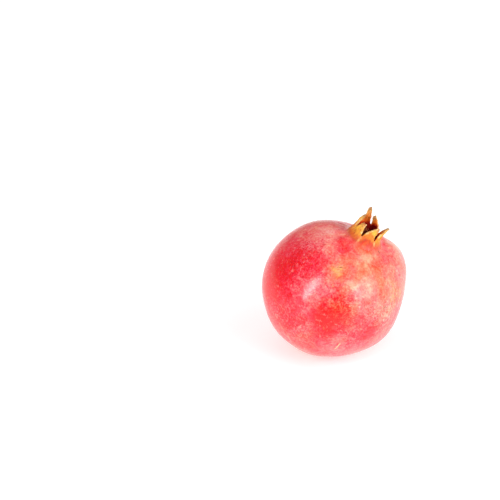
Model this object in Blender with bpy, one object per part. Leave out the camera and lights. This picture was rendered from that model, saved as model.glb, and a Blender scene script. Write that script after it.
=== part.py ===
"""A whole pomegranate, lying on a flat surface with its open crown up and to the right.

The rind is one grown piece: the round body, the short neck and the crown of six dried sepals.
The tuft of withered stamens in the crown and the cut stalk at the other end are pieces of their own.
Every shape is made about the fruit's own axis, from the stalk (-Z) to the crown (+Z), and that axis is
then leaned over. The origin is on the surface, at the middle of the fruit's bounding box.
"""

import math
import random
from collections import namedtuple

import bmesh
import bpy
import numpy as np
from mathutils import Matrix, Vector

MM = 0.001

# Body of the fruit in millimetres, measured from the body's centre
EQUATOR_RADIUS = 43.5
CROWN_SIDE_RADIUS = 40.3
STALK_SIDE_RADIUS = 41.8
BODY_ROUNDNESS = 2.15
DIMPLE_DEPTH = 2.4
DIMPLE_RADIUS = 5.5

# Soft ridges down the body below the sepals: height, width in degrees, how fast they fade to the poles
RIDGE_HEIGHT = 0.9
RIDGE_WIDTH = 15.0
RIDGE_FADE = 1.5

# Broad swells and flats that set this fruit apart from a round one:
# azimuth and angle from the crown axis in degrees, width in degrees, height in millimetres
Swell = namedtuple("Swell", "azimuth polar width height")
SWELLS = (
    Swell(-129, 147, 30, 1.0),
    Swell(-176, 97, 26, 1.8),
    Swell(159, 55, 22, 0.6),
    Swell(147, 43, 16, 1.0),
    Swell(129, 33, 20, -0.6),
    Swell(59, 31, 20, 1.4),
    Swell(32, 44, 20, 4.6),
    Swell(29, 46, 15, 2.3),
    Swell(8, 74, 15, -0.9),
    Swell(-7, 104, 16, 2.2),
    Swell(-15, 116, 30, -1.6),
    Swell(-39, 141, 18, -1.1),
)

# Neck in millimetres: radius, share of the way from the body's skin to the crown, and height
NECK_RINGS = ((15.8, 0.05, 42.0), (12.8, 0.55, 41.4), (10.7, 1.0, 43.0))
NECK_SHIFT = -1.2

# Mouth and cup in millimetres: radius, and height above the body's centre
MOUTH_RADIUS = 9.6
MOUTH_RISE = 0.6
INNER_MOUTH_RADIUS = 7.7
CUP_RINGS = ((7.9, 42.4), (7.6, 39.4), (6.3, 37.0), (3.4, 36.1))
CUP_FLOOR = 35.8

# The six sepals, going round: azimuth and height of the notch where each one starts, the place of
# its tip, how its sides run to that tip (under 1 draws in early to a long point, over 1 stays full)
# and how far it bulges outward halfway
Sepal = namedtuple("Sepal", "start notch tip taper bulge")
SEPALS = (
    Sepal(-108, 44.6, (4.6, -4.5, 53.1), 1.15, 0.3),
    Sepal(-47, 45.0, (9.6, -0.9, 55.0), 0.9, -0.6),
    Sepal(36, 45.0, (-2.3, 4.5, 56.0), 0.8, -2.2),
    Sepal(88, 47.0, (-7.0, 7.5, 58.6), 0.66, -0.4),
    Sepal(142, 45.4, (-8.3, 0.1, 55.6), 1.0, -0.8),
    Sepal(196, 44.5, (-5.4, -3.5, 52.2), 1.15, 0.3),
)
SEPAL_ROWS = (0.3, 0.6, 0.85, 1.0)
SEPAL_BASE_THICKNESS = 1.9
SEPAL_TIP_THICKNESS = 1.0
SEPAL_EDGE_THINNING = 0.4
SEPAL_TIP_HALF_WIDTH = 1.0

# The cage that the smooth skin is drawn over, a little larger than the skin it gives
COLUMNS_PER_SEPAL = 4
BODY_RINGS = (28, 38, 50, 62, 75, 88, 100, 112, 124, 136, 148, 158, 166, 171, 174, 177)
CAGE_GAIN = 1.015
SMOOTHING_LEVELS = 1

# Withered stamens in the cup: one filament's radius, and its anther's
STAMEN_COUNT = 42
STAMEN_SEED = 11
STAMEN_SIDES = 5
STAMEN_RADIUS = 0.42
ANTHER_RADIUS = 0.75

# Share of the way along a stamen, and width there as a share of the filament's or the anther's radius
FILAMENT_WIDTHS = ((0.0, 1.2), (0.4, 1.0), (0.76, 0.9))
ANTHER_WIDTHS = ((0.85, 1.0), (0.95, 0.9))

# Where the stamens root, bend and end, with the limits of their scatter in degrees and in shares
ROOT_RADIUS = 5.2
ROOT_HEIGHT = 37.6
ROOT_CROWN = 0.5
ROOT_SCATTER = 8.0
BEND_WIDENING = 1.05
BEND_HEIGHT = 39.0
BEND_SHARE = 0.5
TIP_RADIUS = 4.9
TIP_HEIGHTS = (42.5, 47.5)
TIP_SCATTER = 28.0
TIP_MIDDLE_SHARE = 0.25
TIP_DRAW_IN = (0.8, 1.0)
TUFT_BASE = ((0.0, 36.3), (3.4, 36.6), (5.8, 37.7), (6.3, 38.6), (4.6, 39.9), (0.0, 40.4))
TUFT_BASE_SIDES = 16

# Cut stalk
STALK_PROFILE = (
    (0.0, -40.7),
    (1.7, -40.95),
    (2.5, -41.3),
    (2.7, -42.3),
    (3.1, -43.7),
    (2.8, -44.4),
    (0.0, -44.7),
)
STALK_SIDES = 16

# Lie of the fruit: the crown leans towards this azimuth, and the fruit is turned about its own axis
LEAN = 27.6
LEAN_AZIMUTH = 8.2
SPIN = -18.7
FLAT_DEPTH = 0.8
CUTTER_SIZE = 60.0

# Colour and roughness of each surface
SKIN_FINISH = ((0.80, 0.09, 0.08), 0.38)
CROWN_FINISH = ((0.80, 0.36, 0.07), 0.55)
STAMEN_FINISH = ((0.42, 0.17, 0.05), 0.75)
BARK_FINISH = ((0.23, 0.12, 0.06), 0.8)


def clear_scene():
    """Remove every object of the open scene."""
    for item in list(bpy.data.objects):
        bpy.data.objects.remove(item, do_unlink=True)


def make_material(name, finish):
    """Return a Principled material of one plain colour and roughness."""
    colour, roughness = finish
    material = bpy.data.materials.new(name)
    material.use_nodes = True
    shader = material.node_tree.nodes["Principled BSDF"]
    shader.inputs["Base Color"].default_value = (*colour, 1.0)
    shader.inputs["Roughness"].default_value = roughness
    shader.inputs["Metallic"].default_value = 0.0
    return material


def polar_point(azimuth, radius, height):
    """Return the point at an azimuth in degrees and a radius about the fruit's axis, in millimetres."""
    angle = math.radians(azimuth)
    return Vector((radius * math.cos(angle), radius * math.sin(angle), height))


def direction(azimuth, polar):
    """Return the unit vector at an azimuth and an angle from the crown axis, in degrees."""
    return polar_point(azimuth, math.sin(math.radians(polar)), math.cos(math.radians(polar)))


def sepal_end(index):
    """Return the azimuth where a sepal ends, which is where the next one starts."""
    end = SEPALS[(index + 1) % len(SEPALS)].start
    return end + 360 if end <= SEPALS[index].start else end


def sepal_middle(index):
    """Return the azimuth of the middle of a sepal's base."""
    return (SEPALS[index].start + sepal_end(index)) / 2


def column_azimuths():
    """Return the azimuths of the cage's columns, a fixed number to each sepal."""
    azimuths = []
    for index, sepal in enumerate(SEPALS):
        width = sepal_end(index) - sepal.start
        for column in range(COLUMNS_PER_SEPAL):
            azimuths.append(sepal.start + width * column / COLUMNS_PER_SEPAL)
    return azimuths


def ridge_height(azimuth, polar):
    """Return the height of the soft ridges that run down the body below the sepals."""
    total = 0.0
    for index in range(len(SEPALS)):
        apart = (azimuth - sepal_middle(index) + 180) % 360 - 180
        total += math.exp(-((apart / RIDGE_WIDTH) ** 2))
    return RIDGE_HEIGHT * total * math.sin(math.radians(polar)) ** RIDGE_FADE


def body_point(azimuth, polar):
    """Return the point of the body's skin in a direction given in degrees."""
    across = math.sin(math.radians(polar))
    along = math.cos(math.radians(polar))
    pole_radius = CROWN_SIDE_RADIUS if along > 0 else STALK_SIDE_RADIUS
    term = (across / EQUATOR_RADIUS) ** BODY_ROUNDNESS + (abs(along) / pole_radius) ** BODY_ROUNDNESS
    radius = term ** (-1 / BODY_ROUNDNESS) + ridge_height(azimuth, polar)
    for swell in SWELLS:
        cosine = min(1.0, direction(azimuth, polar).dot(direction(swell.azimuth, swell.polar)))
        radius += swell.height * math.exp((cosine - 1) / (1 - math.cos(math.radians(swell.width))))
    if along < 0:
        radius -= DIMPLE_DEPTH * math.exp(-((across * radius / DIMPLE_RADIUS) ** 2))
    return polar_point(azimuth, radius * across, radius * along) * CAGE_GAIN


def crown_point(azimuth, radius, height):
    """Return a point of the neck or crown, whose middle is a little to one side of the fruit's axis."""
    return polar_point(azimuth, radius, height) + Vector((NECK_SHIFT, 0, 0))


def neck_point(azimuth, ring):
    """Return a point of the neck, which rises from the body's own skin to the crown's mouth."""
    radius, share, height = ring
    polar = math.degrees(math.atan2(radius, CROWN_SIDE_RADIUS))
    skin = body_point(azimuth, polar)
    return skin.lerp(crown_point(azimuth, radius, height), share)


def mouth_height(azimuth):
    """Return the height of the crown's mouth, which rises a little between its notches."""
    for index, sepal in enumerate(SEPALS):
        share = ((azimuth - sepal.start) % 360) / (sepal_end(index) - sepal.start)
        if share < 1:
            break
    following = SEPALS[(index + 1) % len(SEPALS)]
    level = sepal.notch + (following.notch - sepal.notch) * share
    return level + MOUTH_RISE * math.sin(math.pi * share)


def mouth_points(azimuths, radius):
    """Return the points of the crown's mouth at a radius."""
    return [crown_point(azimuth, radius, mouth_height(azimuth)) for azimuth in azimuths]


def sepal_frame(index, share):
    """Return a sepal's centre line, sideways and outward directions at a share of its length."""
    middle = sepal_middle(index)
    tip = Vector(SEPALS[index].tip)
    base_height = mouth_height(middle)
    base = crown_point(middle, MOUTH_RADIUS, base_height)
    control = crown_point(middle, MOUTH_RADIUS + SEPALS[index].bulge, (base_height + tip.z) / 2)
    centre = base * (1 - share) ** 2 + control * 2 * share * (1 - share) + tip * share**2
    along = ((control - base) * (1 - share) + (tip - control) * share).normalized()
    sideways = Vector((0, 0, 1)).cross(base.lerp(tip, share) - Vector((NECK_SHIFT, 0, 0)))
    sideways = (sideways - along * sideways.dot(along)).normalized()
    return centre, sideways, sideways.cross(along).normalized()


def sepal_row(index, share):
    """Return the outer and inner points across a sepal at a share of its length."""
    centre, sideways, outward = sepal_frame(index, share)
    half_angle = math.radians((sepal_end(index) - SEPALS[index].start) / 2)
    base_half_width = MOUTH_RADIUS * math.sin(half_angle)
    half_width = base_half_width * (1 - share ** SEPALS[index].taper) + SEPAL_TIP_HALF_WIDTH * share
    arch = MOUTH_RADIUS * (1 - math.cos(half_angle)) * (1 - share) * half_width / base_half_width
    middle_thickness = SEPAL_BASE_THICKNESS + (SEPAL_TIP_THICKNESS - SEPAL_BASE_THICKNESS) * share
    outer = []
    inner = []
    for column in range(COLUMNS_PER_SEPAL + 1):
        across = 2 * column / COLUMNS_PER_SEPAL - 1
        point = centre + sideways * half_width * across - outward * arch * across**2
        thickness = middle_thickness - SEPAL_EDGE_THINNING * across**2
        outer.append(point)
        inner.append(point - outward * thickness)
    return outer, inner


class Cage:
    """Vertices and faces of the coarse cage, gathered in millimetres."""

    def __init__(self):
        self.points = []
        self.faces = []
        self.crown_faces = set()

    def add_ring(self, points):
        """Add a list of points and return their indices."""
        start = len(self.points)
        self.points.extend(points)
        return list(range(start, start + len(points)))

    def bridge(self, lower, upper, closed=True, crown=False):
        """Join two rows of the same length with four-sided faces."""
        count = len(lower)
        for column in range(count if closed else count - 1):
            after = (column + 1) % count
            if crown:
                self.crown_faces.add(len(self.faces))
            self.faces.append((lower[column], lower[after], upper[after], upper[column]))

    def close(self, ring, point, crown=False):
        """Close a ring with a fan of triangles to one point."""
        tip = self.add_ring([point])[0]
        for column in range(len(ring)):
            if crown:
                self.crown_faces.add(len(self.faces))
            self.faces.append((ring[column], ring[(column + 1) % len(ring)], tip))


def add_body(cage, azimuths):
    """Add the body and the neck, and return the ring of vertices at the crown's mouth."""
    stalk_end = body_point(0, 180)
    ring = cage.add_ring([body_point(azimuth, BODY_RINGS[-1]) for azimuth in azimuths])
    cage.close(ring, stalk_end)
    for polar in reversed(BODY_RINGS[:-1]):
        upper = cage.add_ring([body_point(azimuth, polar) for azimuth in azimuths])
        cage.bridge(ring, upper)
        ring = upper
    for neck_ring in NECK_RINGS:
        upper = cage.add_ring([neck_point(azimuth, neck_ring) for azimuth in azimuths])
        cage.bridge(ring, upper)
        ring = upper
    mouth = cage.add_ring(mouth_points(azimuths, MOUTH_RADIUS))
    cage.bridge(ring, mouth, crown=True)
    return mouth


def add_cup(cage, azimuths):
    """Add the inside of the neck down to the cup's floor, and return its ring at the mouth."""
    mouth = cage.add_ring(mouth_points(azimuths, INNER_MOUTH_RADIUS))
    ring = mouth
    for radius, height in CUP_RINGS:
        lower = cage.add_ring([crown_point(azimuth, radius, height) for azimuth in azimuths])
        cage.bridge(ring, lower, crown=True)
        ring = lower
    cage.close(ring, crown_point(0, 0, CUP_FLOOR), crown=True)
    return mouth


def add_sepal(cage, index, outer_mouth, inner_mouth):
    """Add one sepal on its stretch of the mouth, outer skin, inner skin, both edges and tip."""
    first = index * COLUMNS_PER_SEPAL
    columns = [(first + step) % len(outer_mouth) for step in range(COLUMNS_PER_SEPAL + 1)]
    outer = [outer_mouth[column] for column in columns]
    inner = [inner_mouth[column] for column in columns]
    for share in SEPAL_ROWS:
        outer_points, inner_points = sepal_row(index, share)
        outer_next = cage.add_ring(outer_points)
        inner_next = cage.add_ring(inner_points)
        cage.bridge(outer, outer_next, closed=False, crown=True)
        cage.bridge(inner_next, inner, closed=False, crown=True)
        cage.bridge([inner[0], outer[0]], [inner_next[0], outer_next[0]], closed=False, crown=True)
        cage.bridge([outer[-1], inner[-1]], [outer_next[-1], inner_next[-1]], closed=False, crown=True)
        outer, inner = outer_next, inner_next
    cage.bridge(outer, inner, closed=False, crown=True)


def mesh_from(name, points, faces):
    """Return a mesh in metres with its faces turned outward and shaded smooth."""
    mesh = bpy.data.meshes.new(name)
    mesh.from_pydata([point * MM for point in points], [], faces)
    shape = bmesh.new()
    shape.from_mesh(mesh)
    bmesh.ops.recalc_face_normals(shape, faces=shape.faces)
    shape.to_mesh(mesh)
    shape.free()
    mesh.shade_smooth()
    return mesh


def add_object(name, mesh, materials, parent):
    """Link a mesh as a named object under the fruit's axis."""
    item = bpy.data.objects.new(name, mesh)
    bpy.context.scene.collection.objects.link(item)
    item.parent = parent
    for material in materials:
        item.data.materials.append(material)
    return item


def make_rind(parent):
    """Make the body, neck and crown as one smooth closed skin."""
    azimuths = column_azimuths()
    cage = Cage()
    outer_mouth = add_body(cage, azimuths)
    inner_mouth = add_cup(cage, azimuths)
    for index in range(len(SEPALS)):
        add_sepal(cage, index, outer_mouth, inner_mouth)
    skin = make_material("rind_skin", SKIN_FINISH)
    crown = make_material("crown_skin", CROWN_FINISH)
    rind = add_object("rind", mesh_from("rind", cage.points, cage.faces), (skin, crown), parent)
    for index in cage.crown_faces:
        rind.data.polygons[index].material_index = 1
    smoothing = rind.modifiers.new("smooth_skin", "SUBSURF")
    smoothing.levels = SMOOTHING_LEVELS
    smoothing.render_levels = SMOOTHING_LEVELS
    return rind


def turned_solid(profile, sides, shift=0.0):
    """Return the points and faces of a solid turned about the fruit's axis or a line beside it."""
    cage = Cage()
    rings = []
    for radius, height in profile[1:-1]:
        points = [polar_point(360 * side / sides, radius, height) for side in range(sides)]
        rings.append(cage.add_ring([point + Vector((shift, 0, 0)) for point in points]))
    for lower, upper in zip(rings, rings[1:]):
        cage.bridge(lower, upper)
    cage.close(rings[0], Vector((shift, 0, profile[0][1])))
    cage.close(rings[-1], Vector((shift, 0, profile[-1][1])))
    return cage.points, cage.faces


def stamen_solid(root, bend, tip, twist):
    """Return the points and faces of one curved stamen that ends in a swollen anther."""
    cage = Cage()
    rings = []
    profile = [(share, STAMEN_RADIUS * width) for share, width in FILAMENT_WIDTHS]
    profile += [(share, ANTHER_RADIUS * width) for share, width in ANTHER_WIDTHS]
    for share, radius in profile:
        centre = root * (1 - share) ** 2 + bend * 2 * share * (1 - share) + tip * share**2
        along = ((bend - root) * (1 - share) + (tip - bend) * share).normalized()
        side = along.orthogonal().normalized()
        side.rotate(Matrix.Rotation(twist, 3, along))
        points = []
        for step in range(STAMEN_SIDES):
            turned = side.copy()
            turned.rotate(Matrix.Rotation(2 * math.pi * step / STAMEN_SIDES, 3, along))
            points.append(centre + turned * radius)
        rings.append(cage.add_ring(points))
    for lower, upper in zip(rings, rings[1:]):
        cage.bridge(lower, upper)
    cage.close(rings[0], root)
    cage.close(rings[-1], tip)
    return cage.points, cage.faces


def make_stamens(parent):
    """Make the tuft of stamens, joined into one body with the low cushion they grow from."""
    withered = make_material("withered_stamens", STAMEN_FINISH)
    points, faces = turned_solid(TUFT_BASE, TUFT_BASE_SIDES, NECK_SHIFT)
    tuft = add_object("stamens", mesh_from("stamens", points, faces), (withered,), parent)
    draw = random.Random(STAMEN_SEED)
    strands = bpy.data.collections.new("stamen_strands")
    bpy.context.scene.collection.children.link(strands)
    golden_angle = 180 * (3 - math.sqrt(5))
    for number in range(STAMEN_COUNT):
        spread = math.sqrt((number + 0.5) / STAMEN_COUNT)
        azimuth = number * golden_angle + draw.uniform(-ROOT_SCATTER, ROOT_SCATTER)
        root_radius = ROOT_RADIUS * spread
        root = crown_point(azimuth, root_radius, ROOT_HEIGHT + ROOT_CROWN * (1 - spread))
        tip_height = draw.uniform(*TIP_HEIGHTS)
        tip_share = TIP_MIDDLE_SHARE + (1 - TIP_MIDDLE_SHARE) * spread
        tip_radius = TIP_RADIUS * tip_share * draw.uniform(*TIP_DRAW_IN)
        tip = crown_point(azimuth + draw.uniform(-TIP_SCATTER, TIP_SCATTER), tip_radius, tip_height)
        bend_height = BEND_HEIGHT + BEND_SHARE * (tip_height - BEND_HEIGHT)
        bend = crown_point(azimuth, root_radius * BEND_WIDENING, bend_height)
        points, faces = stamen_solid(root, bend, tip, draw.uniform(0, math.pi))
        strand = bpy.data.objects.new(f"strand_{number}", mesh_from(f"strand_{number}", points, faces))
        strand.parent = parent
        strands.objects.link(strand)
    union = tuft.modifiers.new("join_strands", "BOOLEAN")
    union.operation = "UNION"
    union.operand_type = "COLLECTION"
    union.collection = strands
    union.solver = "EXACT"
    bpy.context.view_layer.update()
    joined = bpy.data.meshes.new_from_object(tuft.evaluated_get(bpy.context.evaluated_depsgraph_get()))
    tuft.modifiers.clear()
    tuft.data = joined
    for strand in list(strands.objects):
        bpy.data.objects.remove(strand, do_unlink=True)
    bpy.data.collections.remove(strands)
    return tuft


def make_stalk(parent):
    """Make the short stalk left in the dimple where the fruit was cut from its twig."""
    bark = make_material("stalk_bark", BARK_FINISH)
    points, faces = turned_solid(STALK_PROFILE, STALK_SIDES)
    return add_object("stem_stub", mesh_from("stem_stub", points, faces), (bark,), parent)


def make_axis():
    """Make the empty that leans the fruit's axis over and turns the fruit about it."""
    axis = bpy.data.objects.new("fruit_axis", None)
    bpy.context.scene.collection.objects.link(axis)
    towards = Matrix.Rotation(math.radians(LEAN_AZIMUTH), 4, "Z")
    lean = Matrix.Rotation(math.radians(LEAN), 4, "Y")
    spin = Matrix.Rotation(math.radians(SPIN), 4, "Z")
    axis.matrix_world = towards @ lean @ spin
    return axis


def world_points(items):
    """Return the evaluated vertices of some objects in world space as one array."""
    bpy.context.view_layer.update()
    graph = bpy.context.evaluated_depsgraph_get()
    points = []
    for item in items:
        shown = item.evaluated_get(graph)
        points.extend(shown.matrix_world @ vertex.co for vertex in shown.data.vertices)
    return np.array(points)


def rest_on_surface(axis, items):
    """Lower the fruit into the surface by the flat's depth and centre its box over the origin."""
    points = world_points(items)
    low = points.min(axis=0)
    high = points.max(axis=0)
    axis.location = (
        -(low[0] + high[0]) / 2,
        -(low[1] + high[1]) / 2,
        -low[2] - FLAT_DEPTH * MM,
    )


def cut_flat(rind):
    """Cut the small flat spot that the fruit rests on."""
    size = CUTTER_SIZE * MM
    mesh = bpy.data.meshes.new("flat_cutter")
    block = bmesh.new()
    bmesh.ops.create_cube(block, size=size)
    block.to_mesh(mesh)
    block.free()
    cutter = bpy.data.objects.new("flat_cutter", mesh)
    bpy.context.scene.collection.objects.link(cutter)
    cutter.location = (0, 0, -size / 2)
    cutter.hide_render = True
    cutter.display_type = "WIRE"
    cut = rind.modifiers.new("flat_spot", "BOOLEAN")
    cut.operation = "DIFFERENCE"
    cut.object = cutter
    cut.solver = "EXACT"


def main():
    clear_scene()
    axis = make_axis()
    rind = make_rind(axis)
    stamens = make_stamens(axis)
    stalk = make_stalk(axis)
    rest_on_surface(axis, (rind, stamens, stalk))
    cut_flat(rind)


main()
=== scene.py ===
"""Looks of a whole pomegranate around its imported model.

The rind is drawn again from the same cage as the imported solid, with a finer skin, low relief and wrinkles.
The stamens and the cut stalk get finer pieces too. All sizes are millimetres about the fruit's own axis,
from the stalk (-Z) to the crown (+Z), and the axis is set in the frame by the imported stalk.
"""

import math
import random
from collections import namedtuple

import bmesh
import bpy
import numpy as np
from mathutils import Matrix, Vector, noise


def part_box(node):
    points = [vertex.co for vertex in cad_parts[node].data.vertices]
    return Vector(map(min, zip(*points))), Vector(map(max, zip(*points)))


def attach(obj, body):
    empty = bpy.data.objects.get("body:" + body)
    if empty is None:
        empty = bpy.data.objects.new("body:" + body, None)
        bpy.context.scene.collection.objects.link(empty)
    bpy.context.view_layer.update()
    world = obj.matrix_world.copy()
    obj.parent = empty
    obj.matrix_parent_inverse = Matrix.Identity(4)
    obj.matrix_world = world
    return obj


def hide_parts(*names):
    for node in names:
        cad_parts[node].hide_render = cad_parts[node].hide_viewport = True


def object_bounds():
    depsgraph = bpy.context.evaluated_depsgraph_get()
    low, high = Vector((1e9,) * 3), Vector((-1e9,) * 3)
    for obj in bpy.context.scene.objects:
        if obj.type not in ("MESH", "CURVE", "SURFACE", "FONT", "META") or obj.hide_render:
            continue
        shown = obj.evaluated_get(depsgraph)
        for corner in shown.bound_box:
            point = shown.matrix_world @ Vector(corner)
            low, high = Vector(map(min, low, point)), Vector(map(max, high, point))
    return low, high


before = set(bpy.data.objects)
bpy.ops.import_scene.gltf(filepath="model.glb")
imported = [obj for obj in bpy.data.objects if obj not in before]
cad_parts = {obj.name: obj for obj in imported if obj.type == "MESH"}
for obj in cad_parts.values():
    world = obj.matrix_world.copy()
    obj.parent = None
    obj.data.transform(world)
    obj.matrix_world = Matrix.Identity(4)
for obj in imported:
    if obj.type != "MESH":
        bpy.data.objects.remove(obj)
cad_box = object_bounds()

MM = 0.001

# Body of the fruit, measured from the body's centre
EQUATOR_RADIUS = 43.5
CROWN_SIDE_RADIUS = 40.3
STALK_SIDE_RADIUS = 41.8
BODY_ROUNDNESS = 2.15
DIMPLE_DEPTH = 2.4
DIMPLE_RADIUS = 5.5
RIDGE_HEIGHT = 0.9
RIDGE_WIDTH = 15.0
RIDGE_FADE = 1.5

# Broad swells and flats: azimuth and angle from the crown axis in degrees, width in degrees, height
Swell = namedtuple("Swell", "azimuth polar width height")
SWELLS = (
    Swell(-129, 147, 30, 1.0),
    Swell(-176, 97, 26, 1.8),
    Swell(159, 55, 22, 0.6),
    Swell(147, 43, 16, 1.0),
    Swell(129, 33, 20, -0.6),
    Swell(59, 31, 20, 1.4),
    Swell(32, 44, 20, 4.6),
    Swell(29, 46, 15, 2.3),
    Swell(8, 74, 15, -0.9),
    Swell(-7, 104, 16, 2.2),
    Swell(-15, 116, 30, -1.6),
    Swell(-39, 141, 18, -1.1),
)

# Neck and cup: radius, share of the way from the body's skin, and height
NECK_RINGS = ((15.8, 0.05, 42.0), (12.8, 0.55, 41.4), (10.7, 1.0, 43.0))
NECK_SHIFT = -1.2
MOUTH_RADIUS = 9.6
MOUTH_RISE = 0.6
INNER_MOUTH_RADIUS = 7.7
CUP_RINGS = ((7.9, 42.4), (7.6, 39.4), (6.3, 37.0), (3.4, 36.1))
CUP_FLOOR = 35.8

# The six sepals: start azimuth, notch height, tip, how the sides taper, bulge halfway
Sepal = namedtuple("Sepal", "start notch tip taper bulge")
SEPALS = (
    Sepal(-108, 44.6, (4.6, -4.5, 53.1), 1.15, 0.3),
    Sepal(-47, 45.0, (9.6, -0.9, 55.0), 0.9, -0.6),
    Sepal(36, 45.0, (-2.3, 4.5, 56.0), 0.8, -2.2),
    Sepal(88, 47.0, (-7.0, 7.5, 58.6), 0.66, -0.4),
    Sepal(142, 45.4, (-8.3, 0.1, 55.6), 1.0, -0.8),
    Sepal(196, 44.5, (-5.4, -3.5, 52.2), 1.15, 0.3),
)
SEPAL_ROWS = (0.3, 0.6, 0.85, 1.0)
SEPAL_BASE_THICKNESS = 1.9
SEPAL_TIP_THICKNESS = 1.0
SEPAL_EDGE_THINNING = 0.4
SEPAL_TIP_HALF_WIDTH = 1.0

COLUMNS_PER_SEPAL = 4
BODY_RINGS = (28, 38, 50, 62, 75, 88, 100, 112, 124, 136, 148, 158, 166, 171, 174, 177)
CAGE_GAIN = 1.015
SKIN_LEVELS = 3

# Low relief of the skin: height and wavelength of each layer, and how far the skin is sunk beforehand
SKIN_RELIEF = ((0.16, 15.0), (0.05, 6.0), (0.02, 2.9))
SKIN_INSET = 0.16

# Creases below the neck and in the stalk's dimple: how closely they stand, how straight they run, their depth
CREASES_AROUND = 4.2
CREASE_STRETCH = 0.03
CREASE_SINK = 0.3
NECK_CREASE_HEIGHT = 0.4
STALK_CREASE_HEIGHT = 0.3

# Seams below the notches, their width in degrees
SEAM_HEIGHT = 0.3
SEAM_WIDTH = 3.6

# Sepals: share, wavelength and noise offset of each layer of wrinkles along their fibres, then edges and wave
SEPAL_WRINKLES = ((1.0, 0.95, 0.0), (0.6, 0.5, 7.0))
SEPAL_WRINKLE_HEIGHT = 0.42
SEPAL_FIBRE_STRETCH = 0.14
SEPAL_EDGE_CURL = 0.35
SEPAL_BEAD = 0.18
SEPAL_WAVE = 0.45
SEPAL_WAVE_LENGTH = 3.6

# How far up the crown each part lies, from 0 on the body to 1 at the tips
NECK_RISES = (0.0, 0.08, 0.2)
MOUTH_RISE_SHARE = 0.34
CUP_RISES = (0.26, 0.18, 0.1, 0.04)

# Where each form starts and is full, and for two of them also where it wanes and ends. Polars are degrees
# from the crown, rises are as above, and margins go from 0 on a sepal's middle to 1 on its edges
NECK_CREASE_POLARS = (12.0, 20.0, 22.0, 38.0)
STALK_CREASE_POLARS = (160.0, 176.0)
SEAM_RISES = (0.04, 0.2, 0.34, 0.4)
BODY_END_RISES = (0.1, 0.3)
WRINKLE_RISES = (0.15, 0.4)
SEPAL_RISES = (0.38, 0.7)
BEAD_MARGINS = (0.6, 1.0)
CURL_MARGINS = (0.5, 1.0)

# Lie of the fruit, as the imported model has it
LEAN = 27.6
LEAN_AZIMUTH = 8.2
SPIN = -18.7
STALK_PROFILE = (
    (0.0, -40.7),
    (1.7, -40.95),
    (2.5, -41.3),
    (2.7, -42.3),
    (3.1, -43.7),
    (2.8, -44.4),
    (0.0, -44.7),
)
STALK_SIDES = 16

# The fine stalk: radius and height from its root to its cut end, and the ring where the cut starts
FINE_STALK_PROFILE = (
    (0.0, -40.7),
    (1.7, -40.95),
    (2.4, -41.25),
    (2.5, -41.8),
    (2.55, -42.3),
    (2.65, -42.9),
    (2.9, -43.5),
    (2.95, -43.8),
    (2.8, -44.2),
    (2.6, -44.4),
    (2.0, -44.35),
    (0.9, -44.3),
    (0.0, -44.25),
)
FINE_STALK_SIDES = 48
FINE_STALK_SEED = 5
STALK_FURROW = 0.9
CUT_RING = 8

# Soft round patches on the skin: azimuth and angle from the crown in degrees, radius in degrees, strength
# Tone makes the skin redder above 0 and paler below, and warm turns it from pink to orange. A few tone
# patches are painted shade, painted reflection and a painted highlight, each marked below
TONE_AND_PAINTED_LIGHT_PATCHES = (
    # painted shade and painted red reflection of a neighbouring fruit, deepening the red on the left side
    (-150, 96, 24, 0.52),
    (-139, 66, 18, 0.34),
    (-127, 27, 10, 0.18),
    (-84, 80, 11, 0.3),
    (-91, 89, 9, 0.3),
    (-84, 99, 10, 0.42),
    (-48, 88, 11, 0.3),
    (-81, 54, 5, -0.2),
    (-163, 34, 18, -0.24),
    (-132, 41, 9, -0.1),
    (-72, 26, 9, -0.32),
    (-70, 42, 13, -0.1),
    (30, 34, 13, -0.34),
    (-22, 46, 16, -0.22),
    (-39, 68, 11, -0.2),
    (-67, 110, 13, -0.06),
    (-104, 49, 7, -0.12),
    # painted highlight: paler skin at the upper end of the left highlight streak
    (-105, 66, 4, -0.2),
    (140, 98, 28, 0.45),
    (80, 58, 20, -0.2),
    (62, 112, 24, 0.3),
    (8, 122, 20, -0.14),
    (108, 150, 20, -0.16),
    (-30, 150, 18, 0.14),
    (172, 142, 20, 0.22),
    (28, 82, 16, 0.16),
    (-130, 72, 12, -0.22),
    (-98, 34, 7, -0.18),
    (-87, 53, 6, -0.24),
    (-74, 69, 7, -0.14),
    (-75, 101, 6, -0.22),
    (-115, 50, 5, -0.12),
    (-145, 24, 6, 0.14),
    (-60, 13, 6, 0.12),
    (-61, 29, 5, 0.24),
    (-98, 65, 6, 0.08),
    (-77, 14, 5, 0.4),
    (-98, 90, 8, 0.34),
    (-50, 93, 8, 0.1),
    (-17, 52, 8, 0.14),
    (-115, 104, 8, 0.16),
    (-45, 17, 5, -0.14),
    (-26, 22, 6, -0.12),
    (50, 29, 6, -0.1),
    # painted shade of a neighbouring fruit: redder skin low on the left side
    (-120, 115, 7, 0.2),
)
WARM_PATCHES = (
    (-75, 34, 18, 0.5),
    (-104, 49, 7, 0.6),
    (-86, 80, 14, 0.5),
    (-77, 14, 7, 0.6),
    (-30, 55, 22, 0.3),
    (-139, 70, 22, -0.3),
    (-120, 90, 16, -0.3),
    (-60, 108, 18, -0.25),
    (92, 100, 20, 0.4),
    (40, 62, 20, 0.3),
    (0, 172, 22, 0.4),
)
GOLD_PATCHES = (
    (-105, 48, 6, 0.8),
    (-96, 58, 5, 0.4),
    (-24, 54, 12, 0.62),
    (62, 72, 14, 0.7),
    (104, 118, 11, 0.6),
    (20, 116, 10, 0.5),
    (152, 44, 9, 0.5),
    (-60, 160, 12, 0.5),
)
DOT_PATCHES = (
    (-139, 64, 20, 0.9),
    (-118, 108, 18, 0.8),
    (-84, 75, 14, 0.7),
    (-42, 74, 16, 0.55),
    (-62, 96, 12, 0.4),
    (120, 80, 24, 0.7),
    (40, 120, 24, 0.6),
)

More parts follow.
